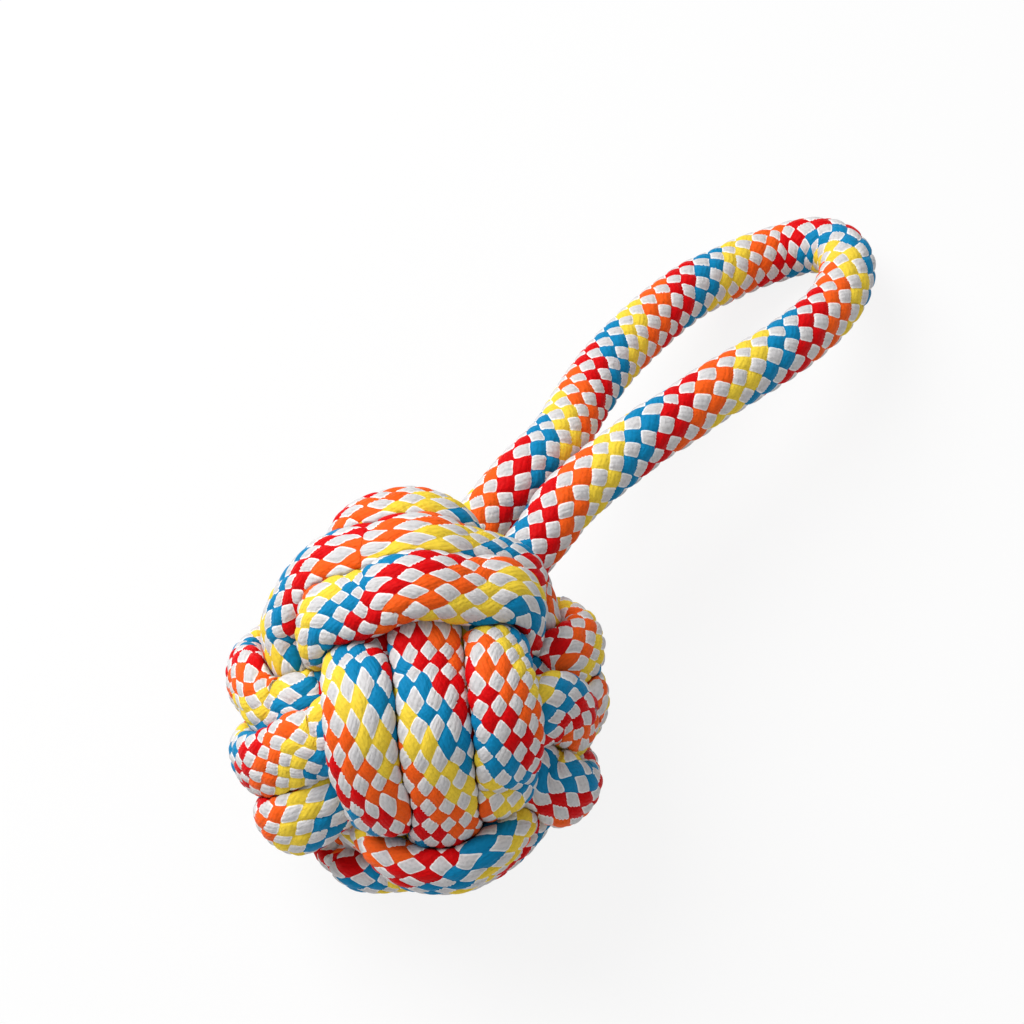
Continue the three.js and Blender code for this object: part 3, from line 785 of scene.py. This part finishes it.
# %% Core knot
CORE_ROPE = 5.0  # half its width
CORE_RINGS = 301
CORE_DEPTH = 1.2  # of the trefoil's waves, where its lobes reach 3
CORE_STRIPS = 2
OFF_CENTRE = 0.01  # so that outward has a direction everywhere
turn_round = np.linspace(0, 2 * np.pi, CORE_RINGS)
trefoil = np.stack([
    np.sin(turn_round) + 2 * np.sin(2 * turn_round),
    np.cos(turn_round) - 2 * np.cos(2 * turn_round),
    -CORE_DEPTH * np.sin(3 * turn_round),
], axis=1)
trefoil *= (CORE_D / 2 - CORE_ROPE) / np.linalg.norm(trefoil, axis=1).max()
core_run = Run(
    trefoil, trefoil + [0, 0, OFF_CENTRE], CORE_ROPE, CORE_ROPE, arc_of(trefoil) / ROPE_LAY)
core_grid = braided_grid(core_run, core_run.spokes())
core_piece = rope_piece(
    "core_rope", core_grid, grid_normals(core_grid), *core_run.place(), CORE_STRIPS)

# %% [markdown]
# ## Rope material
# Each strand is a bundle of fine yarns, and white strands look paler at their rims; their grey
# middles are painted shade between the yarns. A painted picture could be laid on the rope, but it
# would blur close up. So the colour of a point follows from p and q, as the relief does. The same
# sums are done by math nodes in a group, so that all
# pieces share them: which strand is on top, its colour, the painted grey middle and pale rim of
# white cells, fine yarns with painted shade in their grooves, and a little fuzz with darker
# speckles painted in place of the yarns' sheen.

# %% Colours and math nodes
RED = (0.70, 0.003, 0.005, 1)
ORANGE = (0.95, 0.120, 0.012, 1)
YELLOW = (0.93, 0.67, 0.055, 1)
BLUE = (0.005, 0.235, 0.48, 1)
# grey middle of a white cell: painted shade between its yarns
SHADED_WHITE = (0.66, 0.645, 0.65, 1)
RIM = (0.93, 0.92, 0.91, 1)  # of a white cell, around its middle of painted shade
BLACK = (0.0, 0.0, 0.0, 1)
STRAND_COLOURS = [RED, ORANGE, YELLOW, BLUE]


class Sums:
    """Nodes of one tree, written as calls."""

    def __init__(self, tree):
        self.tree = tree

    def node(self, kind, **settings):
        """A new node with these settings."""
        made = self.tree.nodes.new(kind)
        for key, value in settings.items():
            setattr(made, key, value)
        return made

    def put(self, socket, value):
        """A link from another socket, or a plain value."""
        if isinstance(value, bpy.types.NodeSocket):
            self.tree.links.new(value, socket)
        else:
            socket.default_value = value

    def math(self, operation, *values):
        """One operation, such as ADD, on one or two values."""
        made = self.node("ShaderNodeMath", operation=operation)
        for socket, value in zip(made.inputs, values):
            self.put(socket, value)
        return made.outputs[0]

    def rise(self, value, low, high):
        """3 s^2 - 2 s^3, with s from 0 at low to 1 at high."""
        made = self.node("ShaderNodeMapRange", interpolation_type="SMOOTHSTEP")
        for socket, given in zip(made.inputs, [value, low, high]):
            self.put(socket, given)
        return made.outputs[0]

    def mix(self, share, a, b, kind="FLOAT"):
        """(1 - share) a + share b."""
        made = self.node("ShaderNodeMix", data_type=kind)
        used = [s for s in made.inputs if s.enabled]
        for socket, value in zip(used, [share, a, b]):
            self.put(socket, value)
        return next(s for s in made.outputs if s.enabled)


print("coloured strands have", len(STRAND_COLOURS), "colours")

# %% Node group for the braid
OVERLAP = 0.018  # of a strand's width, by which coloured strands spread over white ones
CELL_POWER = 7.0  # how square a white cell is
RIM_FROM, RIM_TO = 0.02, 0.6  # of a white cell's edge value, which is 1 at its border
YARNS = 3.5  # across a strand
YARN_SLANT = 0.6  # yarns passed along a cell
YARN_HEIGHT, GRAIN_HEIGHT = 0.35, 1.2
# colour shares: painted shade in the grooves between yarns, and darker speckles painted in place of
# the yarns' speckled sheen
YARN_GROOVE_SHADE, SHEEN_SPECKLE = 0.08, 0.5
GRAIN_SCALE, GRAIN_DETAIL = 60.0, 3.0
ROUGHNESS, GRAIN_ROUGH = 0.5, 0.3


def strand_colour(s, strand):
    """Red, orange, yellow and blue, in four even steps from 0 to 1."""
    ramp = s.node("ShaderNodeValToRGB")
    ramp.color_ramp.interpolation = "CONSTANT"
    stops = ramp.color_ramp.elements
    stops[1].position = 0.25
    stops.new(0.5)
    stops.new(0.75)
    for stop, colour in zip(stops, STRAND_COLOURS):
        stop.color = colour
    s.put(ramp.inputs[0], strand)
    return ramp.outputs[0]


def braid_group():
    """Colour, Height and Roughness of the braid at a place given by the braid's UV map. With x and
    y as shares of the way from a cell's middle to its sides, a white cell ends where
    |x|^power + |y|^power = 1. Yarns rise as |sin(pi slant)|."""
    tree = bpy.data.node_groups.new("braid of sixteen strands", "ShaderNodeTree")
    tree.interface.new_socket("Place", in_out="INPUT", socket_type="NodeSocketVector")
    tree.interface.new_socket("Colour", in_out="OUTPUT", socket_type="NodeSocketColor")
    tree.interface.new_socket("Height", in_out="OUTPUT", socket_type="NodeSocketFloat")
    tree.interface.new_socket("Roughness", in_out="OUTPUT", socket_type="NodeSocketFloat")
    s = Sums(tree)
    given = s.node("NodeGroupInput").outputs["Place"]
    split = s.node("ShaderNodeSeparateXYZ")
    s.put(split.inputs[0], given)
    u, v = split.outputs[0], split.outputs[1]
    p = s.math("MULTIPLY", s.math("ADD", u, v), STRANDS)
    q = s.math("MULTIPLY", s.math("SUBTRACT", u, v), STRANDS)
    p_cell, q_cell = s.math("FLOOR", p), s.math("FLOOR", q)
    x = s.math("SUBTRACT", s.math("FRACT", p), 0.5)
    y = s.math("SUBTRACT", s.math("FRACT", q), 0.5)
    white = s.math("FLOORED_MODULO", s.math("ADD", p_cell, q_cell), 2.0)
    across, along = s.mix(white, x, y), s.mix(white, y, x)
    reach = s.math("MULTIPLY", s.math("MULTIPLY", s.math("SIGN", x), white), OVERLAP)
    nearest = s.math("FLOOR", s.math("ADD", p, reach))
    count = s.math("FLOORED_MODULO", s.math("ADD", nearest, 0.5), STRANDS)
    coloured = strand_colour(s, s.math("DIVIDE", count, STRANDS))
    slant = s.math("MULTIPLY", along, YARN_SLANT)
    slant = s.math("ADD", s.math("MULTIPLY", across, YARNS), slant)
    yarn = s.math("ABSOLUTE", s.math("SINE", s.math("MULTIPLY", slant, math.pi)))
    full = 0.5 - OVERLAP
    edge_x = s.math("POWER", s.math("ABSOLUTE", s.math("DIVIDE", x, full)), CELL_POWER)
    edge_y = s.math("POWER", s.math("ABSOLUTE", s.math("DIVIDE", y, full)), CELL_POWER)
    edge = s.math("ADD", edge_x, edge_y)
    # a white cell goes from a grey middle, painted shade between its yarns, to a pale rim
    pale = s.mix(s.rise(edge, RIM_FROM, RIM_TO), SHADED_WHITE, RIM, "RGBA")
    inside = s.math("MULTIPLY", white, s.math("LESS_THAN", edge, 1.0))
    top = s.mix(inside, coloured, pale, "RGBA")
    fuzz = s.node("ShaderNodeTexNoise", noise_dimensions="2D")
    fuzz.inputs["Scale"].default_value = GRAIN_SCALE
    fuzz.inputs["Detail"].default_value = GRAIN_DETAIL
    s.put(fuzz.inputs["Vector"], given)
    grain = s.math("SUBTRACT", fuzz.outputs[0], 0.5)
    height = s.math("MULTIPLY", grain, GRAIN_HEIGHT)
    height = s.math("ADD", s.math("MULTIPLY", yarn, YARN_HEIGHT), height)
    # painted shade in the grooves between yarns
    dark = s.math("MULTIPLY", s.math("SUBTRACT", 1.0, yarn), YARN_GROOVE_SHADE)
    # darker speckles, painted in place of the yarns' speckled sheen; the same noise also gives real
    # bumps and roughness
    dark = s.math("ADD", dark, s.math("MULTIPLY", grain, SHEEN_SPECKLE))
    shaded = s.mix(s.math("MAXIMUM", dark, 0.0), top, BLACK, "RGBA")
    rough = s.math("ADD", ROUGHNESS, s.math("MULTIPLY", grain, GRAIN_ROUGH))
    out = s.node("NodeGroupOutput")
    for title, value in [("Colour", shaded), ("Height", height), ("Roughness", rough)]:
        s.put(out.inputs[title], value)
    return tree


BRAID = braid_group()
print("group of", len(BRAID.nodes), "nodes:", BRAID.name)

# %% Rope material
GLOSS = 0.06
BUMP = 0.5
BUMP_HEIGHT = 0.0003  # metres


def rope_material():
    """Principled shader fed by the braid group, with hardly any gloss."""
    material = bpy.data.materials.new("braided rope")
    material.use_nodes = True
    tree = material.node_tree
    shader = tree.nodes["Principled BSDF"]
    shader.inputs["Specular IOR Level"].default_value = GLOSS
    place = tree.nodes.new("ShaderNodeUVMap")
    place.uv_map = "braid"
    braid = tree.nodes.new("ShaderNodeGroup")
    braid.node_tree = BRAID
    bump = tree.nodes.new("ShaderNodeBump")
    bump.inputs["Strength"].default_value = BUMP
    bump.inputs["Distance"].default_value = BUMP_HEIGHT
    tree.links.new(place.outputs[0], braid.inputs["Place"])
    tree.links.new(braid.outputs["Colour"], shader.inputs["Base Color"])
    tree.links.new(braid.outputs["Roughness"], shader.inputs["Roughness"])
    tree.links.new(braid.outputs["Height"], bump.inputs["Height"])
    tree.links.new(bump.outputs[0], shader.inputs["Normal"])
    return material


ROPE = rope_material()
for piece in [*handle_pieces.values(), *wrap_pieces.values(), core_piece]:
    piece.data.materials.append(ROPE)
print(ROPE.name, "on all pieces, with", len(ROPE.node_tree.nodes), "nodes")

# %% [markdown]
# ## Riding on the bodies
# The ball's wraps ride on the ball, and so does the core. A neck bends between the ball and the
# legs, and the rest of the handle bends between the legs and the loop's end. Here the handle's
# pieces are only fixed where they lie, and follow no body.


def bend(piece):
    """The piece's place is written into its mesh; it rides on no body."""
    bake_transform(piece)


bend(handle_pieces["near_neck_rope"])
bend(handle_pieces["far_neck_rope"])
bend(handle_pieces["handle_rope"])
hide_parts("near_root")
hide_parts("far_root")
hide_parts("near_leg", "far_leg", "bight")
for node, piece in [*wrap_pieces.items(), ("core_knot", core_piece)]:
    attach(piece, "ball")
    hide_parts(node)

# %% [markdown]
# The free rope can also hang in other ways than the two hinges allow. Its path, length and
# thickness are noted here, so that whoever uses the toy can let it hang anew.

# %% [markdown]
# ## Floor and light
# A pale floor fills the picture. A plain grey one would show the lamp's fall-off, so to the camera
# it is mostly white by its own glow, and keeps a soft shadow under the toy. One large soft lamp
# stands to the upper left of the picture, and the world fills in the rest.

# %% Floor
FLOOR_HALF = 3.0  # metres
FLOOR_GREY = (0.85, 0.85, 0.85, 1)
FLOOR_ROUGH = 0.9
GLOW_SHARE = 0.86  # of what the camera sees of the floor
GLOW = (1, 1, 1, 1)
floor_mesh = bpy.data.meshes.new("floor")
floor_mesh.from_pydata(
    [(-FLOOR_HALF, -FLOOR_HALF, 0), (FLOOR_HALF, -FLOOR_HALF, 0),
     (FLOOR_HALF, FLOOR_HALF, 0), (-FLOOR_HALF, FLOOR_HALF, 0)], [], [(0, 1, 2, 3)])
floor = bpy.data.objects.new("floor", floor_mesh)
bpy.context.scene.collection.objects.link(floor)
floor_material = bpy.data.materials.new("pale floor")
floor_material.use_nodes = True
tree = floor_material.node_tree
plain = tree.nodes["Principled BSDF"]
plain.inputs["Base Color"].default_value = FLOOR_GREY
plain.inputs["Roughness"].default_value = FLOOR_ROUGH
glow = tree.nodes.new("ShaderNodeEmission")
glow.inputs["Color"].default_value = GLOW
mix = tree.nodes.new("ShaderNodeMixShader")
path = tree.nodes.new("ShaderNodeLightPath")
share = tree.nodes.new("ShaderNodeMath")
share.operation = "MULTIPLY"
share.inputs[1].default_value = GLOW_SHARE
seen = path.outputs["Is Camera Ray"]
for kind in ["Is Glossy Ray", "Is Transmission Ray"]:
    either = tree.nodes.new("ShaderNodeMath")
    either.operation = "MAXIMUM"
    tree.links.new(seen, either.inputs[0])
    tree.links.new(path.outputs[kind], either.inputs[1])
    seen = either.outputs[0]
tree.links.new(seen, share.inputs[0])
tree.links.new(share.outputs[0], mix.inputs[0])
tree.links.new(plain.outputs[0], mix.inputs[1])
tree.links.new(glow.outputs[0], mix.inputs[2])
tree.links.new(mix.outputs[0], tree.nodes["Material Output"].inputs["Surface"])
floor_mesh.materials.append(floor_material)
print("floor", 2 * FLOOR_HALF, "m wide")

# %% Lamp and world
LAMP_REACH = 0.9  # metres from the ball
LAMP_SIZE = 0.7  # metres across
LAMP_POWER = 8.2  # watts
LAMP_NEAR, LAMP_HIGH, LAMP_LEFT = 0.52, 0.67, 0.53  # towards the camera, up and left in the picture
SKY = (1, 1, 1, 1)
SKY_STRENGTH = 0.44
lamp_way = unit(-LAMP_NEAR * camera_view + LAMP_HIGH * camera_up - LAMP_LEFT * camera_right)
lamp_data = bpy.data.lights.new("key lamp", "AREA")
lamp_data.shape = "DISK"
lamp_data.size = LAMP_SIZE
lamp_data.energy = LAMP_POWER
lamp = bpy.data.objects.new("key lamp", lamp_data)
lamp_turn = np.eye(4)
lamp_side = unit(np.cross(camera_up, lamp_way))
lamp_turn[:3, :3] = np.stack([lamp_side, np.cross(lamp_way, lamp_side), lamp_way], axis=1)
lamp_turn[:3, 3] = BALL / 1000 + LAMP_REACH * lamp_way
lamp.matrix_world = Matrix(lamp_turn.tolist())
bpy.context.scene.collection.objects.link(lamp)
world = bpy.data.worlds.new("studio")
bpy.context.scene.world = world
world.use_nodes = True
sky = world.node_tree.nodes["Background"]
sky.inputs["Color"].default_value = SKY
sky.inputs["Strength"].default_value = SKY_STRENGTH
bpy.context.scene.view_settings.view_transform = "Standard"
print("lamp at", lamp_turn[:3, 3].round(3))
